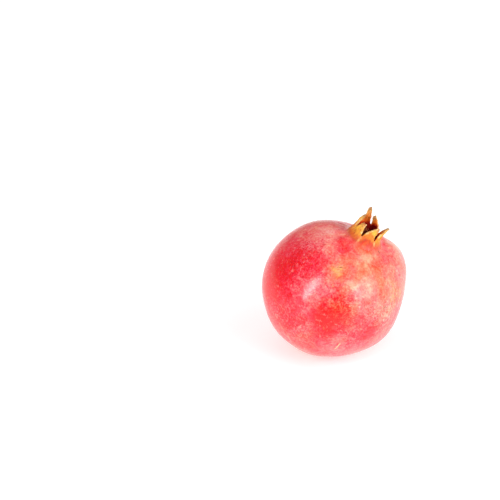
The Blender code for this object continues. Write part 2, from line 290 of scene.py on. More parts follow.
# Azimuth and half width of where the crown is reddest at its foot, and of where painted shade darkens the
# inside furthest up
BLUSH = (-76, 30)
PAINTED_INNER_SHADE = (60, 28)

# Short healed scratches: start and end as azimuth and angle from the crown, half width, how dark
SCARS = (
    ((-68, 113), (-68, 105), 0.42, 0.0),
    ((-107, 47), (-103, 44), 0.22, 1.0),
    ((-31, 16.4), (-27, 18.0), 0.6, 0.9),
    ((-42, 66), (-40, 64), 0.7, 0.8),
    ((30, 38.4), (32, 37.6), 0.3, 0.6),
    ((121, 72), (124, 76), 0.35, 0.2),
    ((60, 96), (52, 99), 0.3, 0.6),
    ((164, 60), (166, 68), 0.3, 0.3),
)

# Fine stamens, each a thread from the cup's cushion with an anther across its tip
STAMEN_COUNT = 140
STAMEN_SEED = 11
STAMEN_RADIUS = 0.2
STAMEN_STEPS = 6
STAMEN_SIDES = 6
STAMEN_SWAY = 0.18
ROOT_REACH = 6.0
ROOT_HEIGHT = 36.9
CUSHION_RISE = 2.2
TIP_REACH = 4.9
TIP_HEIGHTS = (41.6, 46.4)
MIDDLE_HEIGHT = 39
ANTHER_LENGTH = 1.15
ANTHER_RADIUS = 0.34
ANTHER_WIDTHS = (0.35, 0.9, 0.75, 0.95, 0.35)
ANTHER_SIDES = 7

# How far up a stamen its colour is read, at the thread's end and on the anther
THREAD_END_VALUE = 0.72
ANTHER_VALUE = 0.9

# Colours as they show on a screen, 0 to 255, each at its place on a ramp
PINK_SKIN = (
    (0.0, (234, 164, 154)),
    (0.25, (231, 118, 118)),
    (0.5, (226, 62, 80)),
    (0.75, (228, 12, 42)),
    (1.0, (224, 0, 10)),
)
ORANGE_SKIN = (
    (0.0, (234, 170, 132)),
    (0.25, (231, 126, 94)),
    (0.5, (226, 80, 52)),
    (0.75, (228, 28, 18)),
    (1.0, (224, 0, 2)),
)
CROWN_OUTSIDE = (
    (0.0, (200, 42, 8)),
    (0.1, (192, 54, 4)),
    (0.2, (206, 98, 12)),
    (0.33, (222, 132, 20)),
    (0.62, (242, 172, 44)),
    (0.9, (214, 160, 78)),
)
# Inside of the crown by how far up: the darkest red low in the cup is painted shade
CROWN_INSIDE = (
    (0.1, (110, 6, 4)),
    (0.34, (170, 12, 6)),
    (0.42, (222, 66, 12)),
    (0.52, (255, 128, 28)),
    (0.7, (226, 134, 52)),
    (0.9, (192, 144, 80)),
)
# Stamens by how far up: darkest at the root, where painted shade of the cup is laid on
STAMEN_COLOURS = (
    (0.0, (44, 4, 3)),
    (0.4, (100, 24, 14)),
    (0.72, (128, 48, 24)),
    (0.86, (158, 84, 50)),
    (1.0, (132, 60, 36)),
)
BARK_COLOURS = (
    (0.3, (78, 50, 30)),
    (0.55, (128, 92, 58)),
    (0.8, (168, 134, 92)),
)
CUT_COLOURS = (
    (0.35, (150, 118, 80)),
    (0.7, (206, 178, 132)),
)
DRY_TIP = (150, 98, 60)

# Soft boxes: azimuth, elevation and roll in degrees, distance and sizes in metres, and energy in watts
Softbox = namedtuple("Softbox", "name azimuth elevation distance width height roll energy shape mirrored")
SOFTBOXES = (
    Softbox("left_box", -41, 28, 0.9, 0.16, 0.76, -14, 5.0, "ELLIPSE", True),
    Softbox("right_box", 57, 23, 0.9, 0.58, 0.54, 0, 6.6, "RECTANGLE", True),
    Softbox("top_box", -150, 60, 1.1, 1.2, 1.2, 0, 3.4, "RECTANGLE", False),
    Softbox("key_box", 80, 48, 1.2, 1.0, 1.0, 0, 3.4, "RECTANGLE", False),
)
SURROUND_STRENGTH = 0.34

# The point that the soft boxes face and half the floor's side, in metres
LIT_POINT = (0, 0, 0.045)
FLOOR_HALF_SIZE = 6.0

# Photograph: its side in pixels, millimetres to a pixel, and where the body's centre lies in it
PHOTO_PIXELS = 500
PIXEL_SIZE = 0.625
BODY_PIXEL = (334, 289)

# Camera: elevation in degrees, distance in metres, sensor width in millimetres
CAMERA_ELEVATION = 35.0
CAMERA_DISTANCE = 2.0
SENSOR_WIDTH = 36.0


def tone(red, green, blue):
    """Return a linear colour for a colour given as it shows on a screen, 0 to 255."""
    shares = (channel / 255 for channel in (red, green, blue))
    return tuple(share / 12.92 if share <= 0.04045 else ((share + 0.055) / 1.055) ** 2.4 for share in shares)


# Geometry of the fruit about its own axis

def polar_point(azimuth, radius, height):
    """Return the point at an azimuth in degrees and a radius about the fruit's axis."""
    angle = math.radians(azimuth)
    return Vector((radius * math.cos(angle), radius * math.sin(angle), height))


def direction(azimuth, polar):
    """Return the unit vector at an azimuth and an angle from the crown axis, in degrees."""
    return polar_point(azimuth, math.sin(math.radians(polar)), math.cos(math.radians(polar)))


def sepal_end(index):
    """Return the azimuth where a sepal ends, which is where the next one starts."""
    end = SEPALS[(index + 1) % len(SEPALS)].start
    return end + 360 if end <= SEPALS[index].start else end


def sepal_middle(index):
    """Return the azimuth of the middle of a sepal's base."""
    return (SEPALS[index].start + sepal_end(index)) / 2


def column_azimuths():
    """Return the azimuths of the cage's columns, a fixed number to each sepal."""
    azimuths = []
    for index, sepal in enumerate(SEPALS):
        width = sepal_end(index) - sepal.start
        for column in range(COLUMNS_PER_SEPAL):
            azimuths.append(sepal.start + width * column / COLUMNS_PER_SEPAL)
    return azimuths


def ridge_height(azimuth, polar):
    """Return the height of the soft ridges that run down the body below the sepals."""
    total = 0.0
    for index in range(len(SEPALS)):
        apart = (azimuth - sepal_middle(index) + 180) % 360 - 180
        total += math.exp(-((apart / RIDGE_WIDTH) ** 2))
    return RIDGE_HEIGHT * total * math.sin(math.radians(polar)) ** RIDGE_FADE


def body_point(azimuth, polar):
    """Return the point of the body's skin in a direction given in degrees."""
    across = math.sin(math.radians(polar))
    along = math.cos(math.radians(polar))
    pole_radius = CROWN_SIDE_RADIUS if along > 0 else STALK_SIDE_RADIUS
    term = (across / EQUATOR_RADIUS) ** BODY_ROUNDNESS + (abs(along) / pole_radius) ** BODY_ROUNDNESS
    radius = term ** (-1 / BODY_ROUNDNESS) + ridge_height(azimuth, polar)
    for swell in SWELLS:
        cosine = min(1.0, direction(azimuth, polar).dot(direction(swell.azimuth, swell.polar)))
        radius += swell.height * math.exp((cosine - 1) / (1 - math.cos(math.radians(swell.width))))
    if along < 0:
        radius -= DIMPLE_DEPTH * math.exp(-((across * radius / DIMPLE_RADIUS) ** 2))
    return polar_point(azimuth, radius * across, radius * along) * CAGE_GAIN


def crown_point(azimuth, radius, height):
    """Return a point of the neck or crown, whose middle is a little to one side of the fruit's axis."""
    return polar_point(azimuth, radius, height) + Vector((NECK_SHIFT, 0, 0))


def neck_point(azimuth, ring):
    """Return a point of the neck, which rises from the body's own skin to the crown's mouth."""
    radius, share, height = ring
    polar = math.degrees(math.atan2(radius, CROWN_SIDE_RADIUS))
    return body_point(azimuth, polar).lerp(crown_point(azimuth, radius, height), share)


def mouth_height(azimuth):
    """Return the height of the crown's mouth, which rises a little between its notches."""
    for index, sepal in enumerate(SEPALS):
        share = ((azimuth - sepal.start) % 360) / (sepal_end(index) - sepal.start)
        if share < 1:
            break
    following = SEPALS[(index + 1) % len(SEPALS)]
    level = sepal.notch + (following.notch - sepal.notch) * share
    return level + MOUTH_RISE * math.sin(math.pi * share)


def mouth_points(azimuths, radius):
    """Return the points of the crown's mouth at a radius."""
    return [crown_point(azimuth, radius, mouth_height(azimuth)) for azimuth in azimuths]


def sepal_frame(index, share):
    """Return a sepal's centre line, sideways and outward directions at a share of its length."""
    middle = sepal_middle(index)
    tip = Vector(SEPALS[index].tip)
    base_height = mouth_height(middle)
    base = crown_point(middle, MOUTH_RADIUS, base_height)
    control = crown_point(middle, MOUTH_RADIUS + SEPALS[index].bulge, (base_height + tip.z) / 2)
    centre = base * (1 - share) ** 2 + control * 2 * share * (1 - share) + tip * share**2
    along = ((control - base) * (1 - share) + (tip - control) * share).normalized()
    sideways = Vector((0, 0, 1)).cross(base.lerp(tip, share) - Vector((NECK_SHIFT, 0, 0)))
    sideways = (sideways - along * sideways.dot(along)).normalized()
    return centre, sideways, sideways.cross(along).normalized()


def sepal_row(index, share):
    """Return the outer and inner points across a sepal at a share of its length."""
    centre, sideways, outward = sepal_frame(index, share)
    half_angle = math.radians((sepal_end(index) - SEPALS[index].start) / 2)
    base_half_width = MOUTH_RADIUS * math.sin(half_angle)
    half_width = base_half_width * (1 - share ** SEPALS[index].taper) + SEPAL_TIP_HALF_WIDTH * share
    arch = MOUTH_RADIUS * (1 - math.cos(half_angle)) * (1 - share) * half_width / base_half_width
    middle_thickness = SEPAL_BASE_THICKNESS + (SEPAL_TIP_THICKNESS - SEPAL_BASE_THICKNESS) * share
    outer = []
    inner = []
    for column in range(COLUMNS_PER_SEPAL + 1):
        across = 2 * column / COLUMNS_PER_SEPAL - 1
        point = centre + sideways * half_width * across - outward * arch * across**2
        thickness = middle_thickness - SEPAL_EDGE_THINNING * across**2
        outer.append(point)
        inner.append(point - outward * thickness)
    return outer, inner


class Cage:
    """Vertices and faces of a coarse cage, with a few values at each vertex that the skin blends."""

    def __init__(self):
        self.points = []
        self.faces = []
        self.rise = []
        self.inside = []
        self.margin = []

    def add_ring(self, points, rise=0.0, inside=0.0, margins=None):
        """Add a list of points and return their indices."""
        start = len(self.points)
        self.points.extend(points)
        self.rise.extend([rise] * len(points))
        self.inside.extend([inside] * len(points))
        self.margin.extend(margins or [0.0] * len(points))
        return list(range(start, start + len(points)))

    def bridge(self, lower, upper, closed=True):
        """Join two rows of the same length with four-sided faces."""
        count = len(lower)
        for column in range(count if closed else count - 1):
            after = (column + 1) % count
            self.faces.append((lower[column], lower[after], upper[after], upper[column]))

    def close(self, ring, point, rise=0.0, inside=0.0):
        """Close a ring with a fan of triangles to one point."""
        tip = self.add_ring([point], rise, inside)[0]
        for column in range(len(ring)):
            self.faces.append((ring[column], ring[(column + 1) % len(ring)], tip))


def add_body(cage, azimuths):
    """Add the body and the neck, and return the ring of vertices at the crown's mouth."""
    ring = cage.add_ring([body_point(azimuth, BODY_RINGS[-1]) for azimuth in azimuths])
    cage.close(ring, body_point(0, 180))
    for polar in reversed(BODY_RINGS[:-1]):
        upper = cage.add_ring([body_point(azimuth, polar) for azimuth in azimuths])
        cage.bridge(ring, upper)
        ring = upper
    for neck_ring, rise in zip(NECK_RINGS, NECK_RISES):
        upper = cage.add_ring([neck_point(azimuth, neck_ring) for azimuth in azimuths], rise)
        cage.bridge(ring, upper)
        ring = upper
    mouth = cage.add_ring(mouth_points(azimuths, MOUTH_RADIUS), MOUTH_RISE_SHARE)
    cage.bridge(ring, mouth)
    return mouth


def add_cup(cage, azimuths):
    """Add the inside of the neck down to the cup's floor, and return its ring at the mouth."""
    mouth = cage.add_ring(mouth_points(azimuths, INNER_MOUTH_RADIUS), MOUTH_RISE_SHARE, 1.0)
    ring = mouth
    for (radius, height), rise in zip(CUP_RINGS, CUP_RISES):
        lower = cage.add_ring([crown_point(azimuth, radius, height) for azimuth in azimuths], rise, 1.0)
        cage.bridge(ring, lower)
        ring = lower
    cage.close(ring, crown_point(0, 0, CUP_FLOOR), 0.0, 1.0)
    return mouth


def add_sepal(cage, index, outer_mouth, inner_mouth):
    """Add one sepal on its stretch of the mouth, outer skin, inner skin, both edges and tip."""
    first = index * COLUMNS_PER_SEPAL
    columns = [(first + step) % len(outer_mouth) for step in range(COLUMNS_PER_SEPAL + 1)]
    outer = [outer_mouth[column] for column in columns]
    inner = [inner_mouth[column] for column in columns]
    margins = [abs(2 * step / COLUMNS_PER_SEPAL - 1) for step in range(COLUMNS_PER_SEPAL + 1)]
    for share in SEPAL_ROWS:
        outer_points, inner_points = sepal_row(index, share)
        rise = MOUTH_RISE_SHARE + (1 - MOUTH_RISE_SHARE) * share
        outer_next = cage.add_ring(outer_points, rise, 0.0, margins)
        inner_next = cage.add_ring(inner_points, rise, 1.0, margins)
        cage.bridge(outer, outer_next, closed=False)
        cage.bridge(inner_next, inner, closed=False)
        cage.bridge([inner[0], outer[0]], [inner_next[0], outer_next[0]], closed=False)
        cage.bridge([outer[-1], inner[-1]], [outer_next[-1], inner_next[-1]], closed=False)
        outer, inner = outer_next, inner_next
    cage.bridge(outer, inner, closed=False)


# Meshes

def stalk_cage(profile, sides):
    """Return a cage turned about the fruit's axis from a profile of radius and height."""
    cage = Cage()
    rings = []
    for radius, height in profile[1:-1]:
        points = [polar_point(360 * side / sides, radius, height) for side in range(sides)]
        rings.append(cage.add_ring(points))
    for lower, upper in zip(rings, rings[1:]):
        cage.bridge(lower, upper)
    cage.close(rings[0], Vector((0, 0, profile[0][1])))
    cage.close(rings[-1], Vector((0, 0, profile[-1][1])))
    return cage


def fruit_matrix():
    """Return the matrix from the fruit's own axes to the frame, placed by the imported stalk's box."""
    towards = Matrix.Rotation(math.radians(LEAN_AZIMUTH), 4, "Z")
    lean = Matrix.Rotation(math.radians(LEAN), 4, "Y")
    spin = Matrix.Rotation(math.radians(SPIN), 4, "Z")
    turned = towards @ lean @ spin
    points = np.array([turned @ (point * MM) for point in stalk_cage(STALK_PROFILE, STALK_SIDES).points])
    low, high = (np.array(corner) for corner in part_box("stem_stub"))
    shift = (low + high) / 2 - (points.min(axis=0) + points.max(axis=0)) / 2
    return Matrix.Translation(shift) @ turned


def mesh_from_cage(name, cage, levels):
    """Return a fine smooth mesh in metres over a cage, with the cage's values blended onto it."""
    mesh = bpy.data.meshes.new(name)
    mesh.from_pydata([point * MM for point in cage.points], [], cage.faces)
    shape = bmesh.new()
    shape.from_mesh(mesh)
    bmesh.ops.recalc_face_normals(shape, faces=shape.faces)
    shape.to_mesh(mesh)
    shape.free()
    for value_name in ("rise", "inside", "margin"):
        values = mesh.attributes.new(value_name, "FLOAT", "POINT")
        values.data.foreach_set("value", getattr(cage, value_name))
    holder = bpy.data.objects.new(name, mesh)
    bpy.context.scene.collection.objects.link(holder)
    smoothing = holder.modifiers.new("smooth_skin", "SUBSURF")
    smoothing.levels = levels
    smoothing.render_levels = levels
    bpy.context.view_layer.update()
    graph = bpy.context.evaluated_depsgraph_get()
    fine = bpy.data.meshes.new_from_object(holder.evaluated_get(graph))
    bpy.data.objects.remove(holder, do_unlink=True)
    fine.name = name
    fine.shade_smooth()
    return fine


def read_vectors(collection, name):
    """Return one vector property of mesh elements as an array of rows."""
    values = np.empty(len(collection) * 3, dtype=np.float32)
    collection.foreach_get(name, values)
    return values.reshape(-1, 3).astype(float)


def read_attribute(mesh, name):
    """Return one float attribute of a mesh as an array."""
    values = np.empty(len(mesh.vertices), dtype=np.float32)
    mesh.attributes[name].data.foreach_get("value", values)
    return values.astype(float)


def write_attribute(mesh, name, values):
    """Store an array as a float attribute of a mesh."""
    mesh.attributes.new(name, "FLOAT", "POINT").data.foreach_set("value", values.astype(np.float32))


def grain(points, wavelength, offset=0.0):
    """Return smooth noise between about -1 and 1 at each point."""
    scaled = points / wavelength + offset
    return np.array([noise.noise(Vector(point)) for point in scaled])


def smooth_step(values, low, high):
    """Return 0 below low, 1 above high, and a smooth rise between."""
    share = np.clip((values - low) / (high - low), 0, 1)
    return share * share * (3 - 2 * share)


def hump(values, low, full, wane, high):
    """Return a smooth rise from low to full and a smooth fall from wane to high."""
    return smooth_step(values, low, full) * (1 - smooth_step(values, wane, high))


def patch_strength(directions, patches):
    """Return how strongly a set of round soft patches covers each direction."""
    total = np.zeros(len(directions))
    for azimuth, polar, radius, strength in patches:
        cosine = directions @ np.array(direction(azimuth, polar))
        total += strength * np.exp((cosine - 1) / (1 - math.cos(math.radians(radius))))
    return total


def settle(mesh, matrix):
    """Move a mesh into the frame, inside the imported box, and store its place on the fruit's own axes."""
    places = read_vectors(mesh.vertices, "co")
    own = mesh.attributes.new("fruit_place", "FLOAT_VECTOR", "POINT")
    own.data.foreach_set("vector", places.astype(np.float32).ravel())
    turned = np.array(matrix)[:3, :3]
    placed = places @ turned.T + np.array(matrix)[:3, 3]
    low, high = (np.array(corner) for corner in cad_box)
    mesh.vertices.foreach_set("co", np.clip(placed, low, high).astype(np.float32).ravel())
    mesh.update()


def seam_strength(azimuths):
    """Return how near each azimuth in degrees is to a seam below a notch between two sepals."""
    total = np.zeros(len(azimuths))
    for sepal in SEPALS:
        apart = (azimuths - sepal.start + 180) % 360 - 180
        total += np.exp(-((apart / SEAM_WIDTH) ** 2))
    return total


def body_relief(points, azimuth, polar):
    """Return the height of the rind's low relief and of the creases at its neck and stalk."""
    relief = np.full(len(points), -SKIN_INSET)
    for height, wavelength in SKIN_RELIEF:
        relief += height * grain(points, wavelength, wavelength)
    across = (np.cos(azimuth) * CREASES_AROUND, np.sin(azimuth) * CREASES_AROUND)
    around = np.column_stack((*across, polar * CREASE_STRETCH))
    near_neck = hump(polar, *NECK_CREASE_POLARS)
    relief += NECK_CREASE_HEIGHT * near_neck * (grain(around, 1.0) - CREASE_SINK)
    near_stalk = smooth_step(polar, *STALK_CREASE_POLARS)
    relief += STALK_CREASE_HEIGHT * near_stalk * (grain(around, 0.8, 3.0) - CREASE_SINK)
    return relief


def carve_skin(mesh):
    """Add the low relief of the rind, the seams of the neck and the wrinkles of the sepals."""
    points = read_vectors(mesh.vertices, "co") / MM
    normals = read_vectors(mesh.vertex_normals, "vector")
    rise = read_attribute(mesh, "rise")
    inside = read_attribute(mesh, "inside")
    margin = read_attribute(mesh, "margin")
    directions = points / np.linalg.norm(points, axis=1)[:, None]
    polar = np.degrees(np.arccos(directions[:, 2]))
    azimuth = np.arctan2(points[:, 1], points[:, 0] - NECK_SHIFT)
    outside = 1 - inside
    on_sepal = smooth_step(rise, *SEPAL_RISES)

    seam = seam_strength(np.degrees(azimuth)) * hump(rise, *SEAM_RISES)
    relief = body_relief(points, azimuth, polar) + SEAM_HEIGHT * seam
    on_body = 1 - smooth_step(rise, *BODY_END_RISES)
    fibres = points * np.array((1.0, 1.0, SEPAL_FIBRE_STRETCH))
    wrinkles = sum(share * grain(fibres, length, offset) for share, length, offset in SEPAL_WRINKLES)
    wrinkles *= SEPAL_WRINKLE_HEIGHT * smooth_step(rise, *WRINKLE_RISES) * (outside - inside)
    bead = SEPAL_BEAD * smooth_step(margin, *BEAD_MARGINS) * on_sepal
    push = relief * np.maximum(on_body, seam) * outside + wrinkles + bead
    moved = points + normals * push[:, None]

    inward = np.column_stack((-np.cos(azimuth), -np.sin(azimuth), np.zeros(len(points))))
    wave = SEPAL_WAVE * on_sepal * grain(points, SEPAL_WAVE_LENGTH, 20.0)
    curl = SEPAL_EDGE_CURL * smooth_step(margin, *CURL_MARGINS) * on_sepal + wave
    moved += inward * curl[:, None]
    mesh.vertices.foreach_set("co", (moved * MM).astype(np.float32).ravel())

    patches = {"tone": TONE_AND_PAINTED_LIGHT_PATCHES, "warm": WARM_PATCHES, "gold": GOLD_PATCHES, "dots": DOT_PATCHES}
    for name, patch_set in patches.items():
        write_attribute(mesh, name, patch_strength(directions, patch_set))
    write_attribute(mesh, "seam", seam)
    for name, (middle, half_width) in (("blush", BLUSH), ("painted_inner_shade", PAINTED_INNER_SHADE)):
        write_attribute(mesh, name, np.exp(-(((np.degrees(azimuth) - middle) / half_width) ** 2)))
    mesh.update()


# Materials

class Paint:
    """Short calls that add and link the nodes of one material."""

    def __init__(self, name):
        self.material = bpy.data.materials.new(name)
        self.material.use_nodes = True
        self.tree = self.material.node_tree
        self.shader = self.tree.nodes["Principled BSDF"]
        self.place = self.add("ShaderNodeAttribute", attribute_name="fruit_place").outputs["Vector"]

    def add(self, kind, **settings):
        """Add a node of a kind and set its properties."""
        node = self.tree.nodes.new(kind)
        for name, value in settings.items():
            setattr(node, name, value)
        return node

    def feed(self, socket, value):
        """Give a socket a value, or link it if the value is a socket."""
        if isinstance(value, bpy.types.NodeSocket):
            self.tree.links.new(value, socket)
        elif socket.type == "RGBA":
            socket.default_value = (*value, 1.0)
        elif socket.type == "VECTOR":
            socket.default_value = tuple(value)
        else:
            socket.default_value = value

    def math(self, operation, first, second=0.0, clamp=False):
        """Return the result of one operation on two values."""
        node = self.add("ShaderNodeMath", operation=operation, use_clamp=clamp)
        self.feed(node.inputs[0], first)
        self.feed(node.inputs[1], second)
        return node.outputs[0]

    def plus(self, first, second):
        """Return the sum of two values."""
        return self.math("ADD", first, second)

    def times(self, first, second):
        """Return the product of two values."""
        return self.math("MULTIPLY", first, second)

    def stretch(self, scale):
        """Return the fruit's own coordinates scaled along its axes."""
        node = self.add("ShaderNodeMapping")
        self.feed(node.inputs["Vector"], self.place)
        node.inputs["Scale"].default_value = scale
        return node.outputs["Vector"]

    def vector(self, operation, first, second=(0.0, 0.0, 0.0), scale=None):
        """Return the vector node of one operation."""
        node = self.add("ShaderNodeVectorMath", operation=operation)
        self.feed(node.inputs[0], first)
        self.feed(node.inputs[1], second)
        if scale is not None:
            self.feed(node.inputs["Scale"], scale)
        return node

    def line(self, start, end, half_width):
        """Return a mask of a short line on the skin between two directions of azimuth and polar angle."""
        radius = EQUATOR_RADIUS * MM
        start = direction(*start) * radius
        along = direction(*end) * radius - start
        outward = self.vector("NORMALIZE", self.place).outputs[0]
        place = self.vector("SCALE", outward, scale=radius).outputs[0]
        place = self.vector("ADD", place, self.wobble(1.2, 0.5)).outputs[0]
        offset = self.vector("SUBTRACT", place, start).outputs[0]
        share = self.vector("DOT_PRODUCT", offset, along / along.length_squared).outputs["Value"]
        share = self.math("ADD", share, 0.0, clamp=True)
        nearest = self.vector("SCALE", along, scale=share).outputs[0]
        distance = self.vector("DISTANCE", offset, nearest).outputs["Value"]
        return self.between(distance, half_width * MM * 1.3, half_width * MM * 0.5)

    def wobble(self, wavelength, distance):
        """Return a small random shift, with its wavelength and size in millimetres."""
        node = self.add("ShaderNodeTexNoise")
        self.feed(node.inputs["Vector"], self.place)
        node.inputs["Scale"].default_value = 1 / (wavelength * MM)
        centred = self.vector("SUBTRACT", node.outputs["Color"], (0.5, 0.5, 0.5)).outputs[0]
        return self.vector("SCALE", centred, scale=distance * MM * 2).outputs[0]

    def value(self, name):
        """Return a value stored at the mesh's vertices."""
        return self.add("ShaderNodeAttribute", attribute_name=name).outputs["Fac"]

    def noise(self, wavelength, detail=2.0, roughness=0.5, distortion=0.0, place=None):
        """Return smooth noise from 0 to 1 with a wavelength in millimetres."""
        node = self.add("ShaderNodeTexNoise")
        self.feed(node.inputs["Vector"], place or self.place)
        node.inputs["Scale"].default_value = 1 / (wavelength * MM)
        node.inputs["Detail"].default_value = detail
        node.inputs["Roughness"].default_value = roughness
        node.inputs["Distortion"].default_value = distortion
        return node.outputs["Fac"]

    def cells(self, size, feature="F1", place=None):
        """Return the distance field of cells of a size in millimetres."""
        node = self.add("ShaderNodeTexVoronoi", feature=feature)
        self.feed(node.inputs["Vector"], place or self.place)
        node.inputs["Scale"].default_value = 1 / (size * MM)
        return node.outputs["Distance"]

    def between(self, value, low, high, start=0.0, end=1.0):
        """Return a value mapped smoothly from low..high to start..end."""
        node = self.add("ShaderNodeMapRange", interpolation_type="SMOOTHSTEP")
        self.feed(node.inputs["Value"], value)
        self.feed(node.inputs["From Min"], low)
        self.feed(node.inputs["From Max"], high)
        self.feed(node.inputs["To Min"], start)
        self.feed(node.inputs["To Max"], end)
        return node.outputs["Result"]

    def shifted(self, value, field, strength):
        """Return a value moved up and down by a noise field around its middle."""
        return self.plus(value, self.times(self.math("SUBTRACT", field, 0.5), strength))

    def mix(self, share, first, second):
        """Return two colours mixed by a share."""
        node = self.add("ShaderNodeMix", data_type="RGBA")
        self.feed(node.inputs["Factor"], share)
        self.feed(node.inputs[6], first)
        self.feed(node.inputs[7], second)
        return node.outputs[2]

    def ramp(self, value, stops):
        """Return a colour read from a ramp of places and colours as they show on a screen."""
        node = self.add("ShaderNodeValToRGB")
        self.feed(node.inputs["Fac"], value)
        elements = node.color_ramp.elements
        while len(elements) < len(stops):
            elements.new(0.5)
        for element, (place, colour) in zip(elements, stops):
            element.position = place
            element.color = (*tone(*colour), 1.0)
        return node.outputs["Color"]

    def bump(self, height, distance, strength=1.0, before=None):
        """Return a normal raised by a height, with its distance in millimetres."""
        node = self.add("ShaderNodeBump")
        self.feed(node.inputs["Height"], height)
        node.inputs["Distance"].default_value = distance * MM
        node.inputs["Strength"].default_value = strength
        if before is not None:
            self.feed(node.inputs["Normal"], before)
        return node.outputs["Normal"]

    def finish(self, colour, roughness, normal, specular=0.5):
        """Link the last colour, roughness and normal to the shader."""
        self.feed(self.shader.inputs["Base Color"], colour)
        self.feed(self.shader.inputs["Roughness"], roughness)
        self.feed(self.shader.inputs["Normal"], normal)
        self.shader.inputs["Specular IOR Level"].default_value = specular
        return self.material


def rind_ground(paint):
    """Return the mottled colour of the rind's body, and the fields that its bumps share with it."""
    broad = paint.noise(17.0, 2.0, 0.5)
    blotch = paint.noise(5.2, 3.0, 0.6, 0.8)
    fine = paint.noise(1.9, 3.0, 0.55, 0.8)
    grainy = paint.noise(1.15, 2.0, 0.6, 0.6)

    # pale to red, and pink to orange
    # the tone patches include painted shade, painted reflection and a painted highlight
    redness = paint.plus(paint.value("tone"), 0.42)
    redness = paint.shifted(redness, broad, 0.5)
    redness = paint.shifted(redness, blotch, 0.66)
    freckled = paint.plus(paint.times(paint.value("dots"), 0.8), 0.36)
    redness = paint.shifted(redness, fine, paint.times(freckled, 1.25))
    redness = paint.shifted(redness, grainy, paint.times(freckled, 1.4))
    warm = paint.plus(paint.value("warm"), 0.32)
    warm = paint.shifted(warm, paint.noise(7.0, 3.0), 1.2)
    pink = paint.ramp(redness, PINK_SKIN)
    orange = paint.ramp(redness, ORANGE_SKIN)
    ground = paint.mix(paint.between(warm, 0.0, 1.0), pink, orange)

    # golden streaks that run from crown to stalk
    streaks = paint.noise(2.0, 3.0, 0.6, 0.3, paint.stretch((1.0, 1.0, 0.22)))
    golden = paint.shifted(paint.value("gold"), streaks, 2.2)
    golden = paint.shifted(golden, fine, 1.4)
    golden = paint.between(golden, 0.3, 1.3, 0.0, 0.75)
    ground = paint.mix(golden, ground, tone(236, 176, 98))

    # pale flecks where the red is missing
    flecks = paint.between(paint.noise(1.7, 3.0, 0.6, 0.3), 0.54, 0.72, 0.0, 0.55)
    flecks = paint.times(flecks, paint.between(paint.noise(6.0, 2.0), 0.38, 0.6))
    ground = paint.mix(flecks, ground, tone(242, 152, 138))

    # dark red dots
    dots = paint.cells(1.4, place=paint.vector("ADD", paint.place, paint.wobble(2.0, 0.6)).outputs[0])
    dots = paint.between(dots, 0.5, 0.18)
    crowd = paint.shifted(paint.value("dots"), blotch, 3.0)
    dots = paint.times(dots, paint.between(crowd, 0.0, 1.1, 0.1, 0.72))
    ground = paint.mix(dots, ground, tone(182, 6, 32))

    # small pale pores, a few russet ones and healed scratches
    pale_pores = paint.between(paint.cells(1.25), 0.24, 0.1, 0.0, 0.2)
    ground = paint.mix(pale_pores, ground, tone(240, 146, 122))
    pores = paint.cells(3.1)
    pores = paint.between(pores, 0.15, 0.06)
    pores = paint.times(pores, paint.between(paint.noise(9.0, 2.0), 0.45, 0.62, 0.0, 0.65))
    ground = paint.mix(pores, ground, tone(132, 66, 36))
    marks = pores
    for start, end, half_width, darkness in SCARS:
        mark = paint.line(start, end, half_width)
        shade = Vector(tone(240, 190, 140)).lerp(Vector(tone(92, 50, 32)), darkness)
        ground = paint.mix(paint.times(mark, 0.8), ground, tuple(shade))
        marks = paint.math("MAXIMUM", marks, mark)
    return ground, blotch, fine, grainy, marks


def crown_colour(paint, fibres):
    """Return the colour of the dry crown, golden outside, dark red to orange inside with painted shade low in
    the cup, and its dryness.
    """
    dry = paint.noise(2.4, 3.0, 0.6)
    up = paint.shifted(paint.value("rise"), dry, 0.3)

    # outside: gold with orange and khaki clouds, brown fibres, and a painted highlight along the seams
    lower = paint.math("SUBTRACT", up, paint.times(paint.value("blush"), 0.25))
    outside = paint.ramp(lower, CROWN_OUTSIDE)
    outside = paint.mix(paint.between(paint.noise(3.2, 3.0), 0.5, 0.64, 0.0, 0.6), outside, tone(216, 88, 20))
    khaki = paint.between(paint.noise(2.2, 3.0, 0.6, 0.4), 0.52, 0.66, 0.0, 0.5)
    khaki = paint.times(khaki, paint.between(up, 0.3, 0.5))
    outside = paint.mix(khaki, outside, tone(188, 142, 62))
    outside = paint.mix(paint.between(fibres, 0.5, 0.68, 0.0, 0.75), outside, tone(168, 70, 18))
    # painted highlight: a pale cream line along each raised seam
    seam = paint.times(paint.value("seam"), paint.between(dry, 0.35, 0.6))
    outside = paint.mix(paint.times(seam, 0.6), outside, tone(240, 184, 120))

    # brown dry tips, and pale edges that are partly dry and partly a painted highlight
    tip = paint.between(up, 0.84, 1.02, 0.0, 0.8)
    outside = paint.mix(tip, outside, tone(*DRY_TIP))
    edge = paint.between(paint.shifted(paint.value("margin"), dry, 0.3), 0.76, 1.0, 0.0, 0.75)
    edge = paint.times(edge, paint.between(paint.value("rise"), 0.36, 0.46))
    rim = paint.mix(paint.between(dry, 0.42, 0.6), tone(192, 146, 74), tone(238, 198, 132))
    outside = paint.mix(edge, outside, rim)

    # inside: dark red in the cup, darkened further down by painted shade, then orange, then as dry as the
    # outside
    # painted shade: the inside stays dark further up around one azimuth
    shaded_rise = paint.math("SUBTRACT", up, paint.times(paint.value("painted_inner_shade"), 0.24))
    inner = paint.ramp(shaded_rise, CROWN_INSIDE)
    inner = paint.mix(paint.between(fibres, 0.5, 0.74, 0.0, 0.34), inner, tone(150, 40, 10))
    inner = paint.mix(tip, inner, tone(*DRY_TIP))
    # the pale edges inside too, partly dry and partly a painted highlight
    inner = paint.mix(paint.times(edge, 0.8), inner, rim)
    return paint.mix(paint.between(paint.value("inside"), 0.35, 0.65), outside, inner), dry


